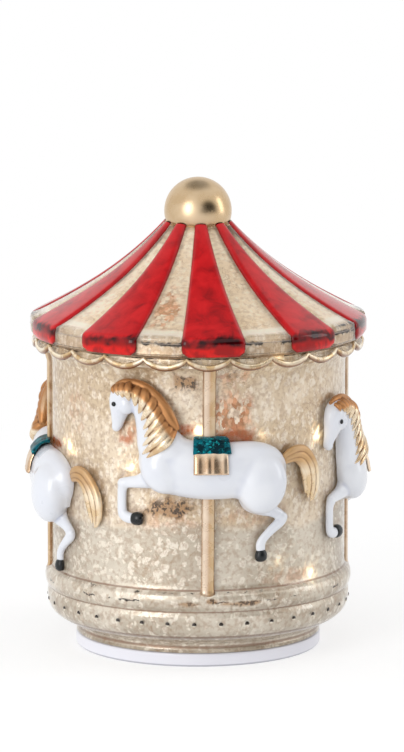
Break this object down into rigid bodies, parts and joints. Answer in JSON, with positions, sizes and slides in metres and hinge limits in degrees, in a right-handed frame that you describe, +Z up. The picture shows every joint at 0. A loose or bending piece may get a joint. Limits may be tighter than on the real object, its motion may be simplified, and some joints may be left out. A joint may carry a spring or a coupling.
{
  "type": "lighted mercury glass carousel ornament",
  "caption": "Tabletop ornament: a blown glass tent on a glass drum, with painted horses in relief on gold poles and a white plastic foot.",
  "frame": {"origin": "middle of the flat underside, at the level the ornament stands on", "axes": "+Z up, along the drum's axis; -Y towards the viewer, through the pole of the front horse; +X to the viewer's right"},
  "size_m": [0.14, 0.14, 0.1894],
  "materials": {
    "mercury_glass": "gloss, crackled gold and silver coating inside",
    "red_lacquer": "gloss translucent lacquer on raised glass",
    "gold_paint": "metallic gold paint",
    "white_enamel": "gloss enamel",
    "teal_enamel": "gloss enamel with fine glitter",
    "black_enamel": "gloss enamel",
    "white_plastic": "semi-gloss moulding",
    "black_plastic": "matte moulding",
    "lamp_wire": "enamelled copper wire with clear lamp beads"
  },
  "bodies": {
    "root": {"roof_glass": "mercury_glass", "body_glass": "mercury_glass", "scallop_trim": "gold_paint", "finial_ball": "gold_paint", "plinth": "white_plastic", "battery_cover": "white_plastic", "light_switch": "black_plastic", "lamp_string": "lamp_wire", "red_stripe_01": "red_lacquer", "red_stripe_02": "red_lacquer", "red_stripe_03": "red_lacquer", "red_stripe_04": "red_lacquer", "red_stripe_05": "red_lacquer", "red_stripe_06": "red_lacquer", "red_stripe_07": "red_lacquer", "red_stripe_08": "red_lacquer", "red_stripe_09": "red_lacquer", "red_stripe_10": "red_lacquer", "pole_1": "gold_paint", "pole_2": "gold_paint", "pole_3": "gold_paint", "pole_4": "gold_paint", "horse_1_body": "white_enamel", "horse_1_mane": "gold_paint", "horse_1_tail": "gold_paint", "horse_1_blanket": "teal_enamel", "horse_1_saddle_flap": "gold_paint", "horse_1_fore_hoof": "black_enamel", "horse_1_hind_hoof": "black_enamel", "horse_2_body": "white_enamel", "horse_2_mane": "gold_paint", "horse_2_tail": "gold_paint", "horse_2_blanket": "teal_enamel", "horse_2_saddle_flap": "gold_paint", "horse_2_fore_hoof": "black_enamel", "horse_2_hind_hoof": "black_enamel", "horse_3_body": "white_enamel", "horse_3_mane": "gold_paint", "horse_3_tail": "gold_paint", "horse_3_blanket": "teal_enamel", "horse_3_saddle_flap": "gold_paint", "horse_3_fore_hoof": "black_enamel", "horse_3_hind_hoof": "black_enamel", "horse_4_body": "white_enamel", "horse_4_mane": "gold_paint", "horse_4_tail": "gold_paint", "horse_4_blanket": "teal_enamel", "horse_4_saddle_flap": "gold_paint", "horse_4_fore_hoof": "black_enamel", "horse_4_hind_hoof": "black_enamel"}
  },
  "joints": []
}
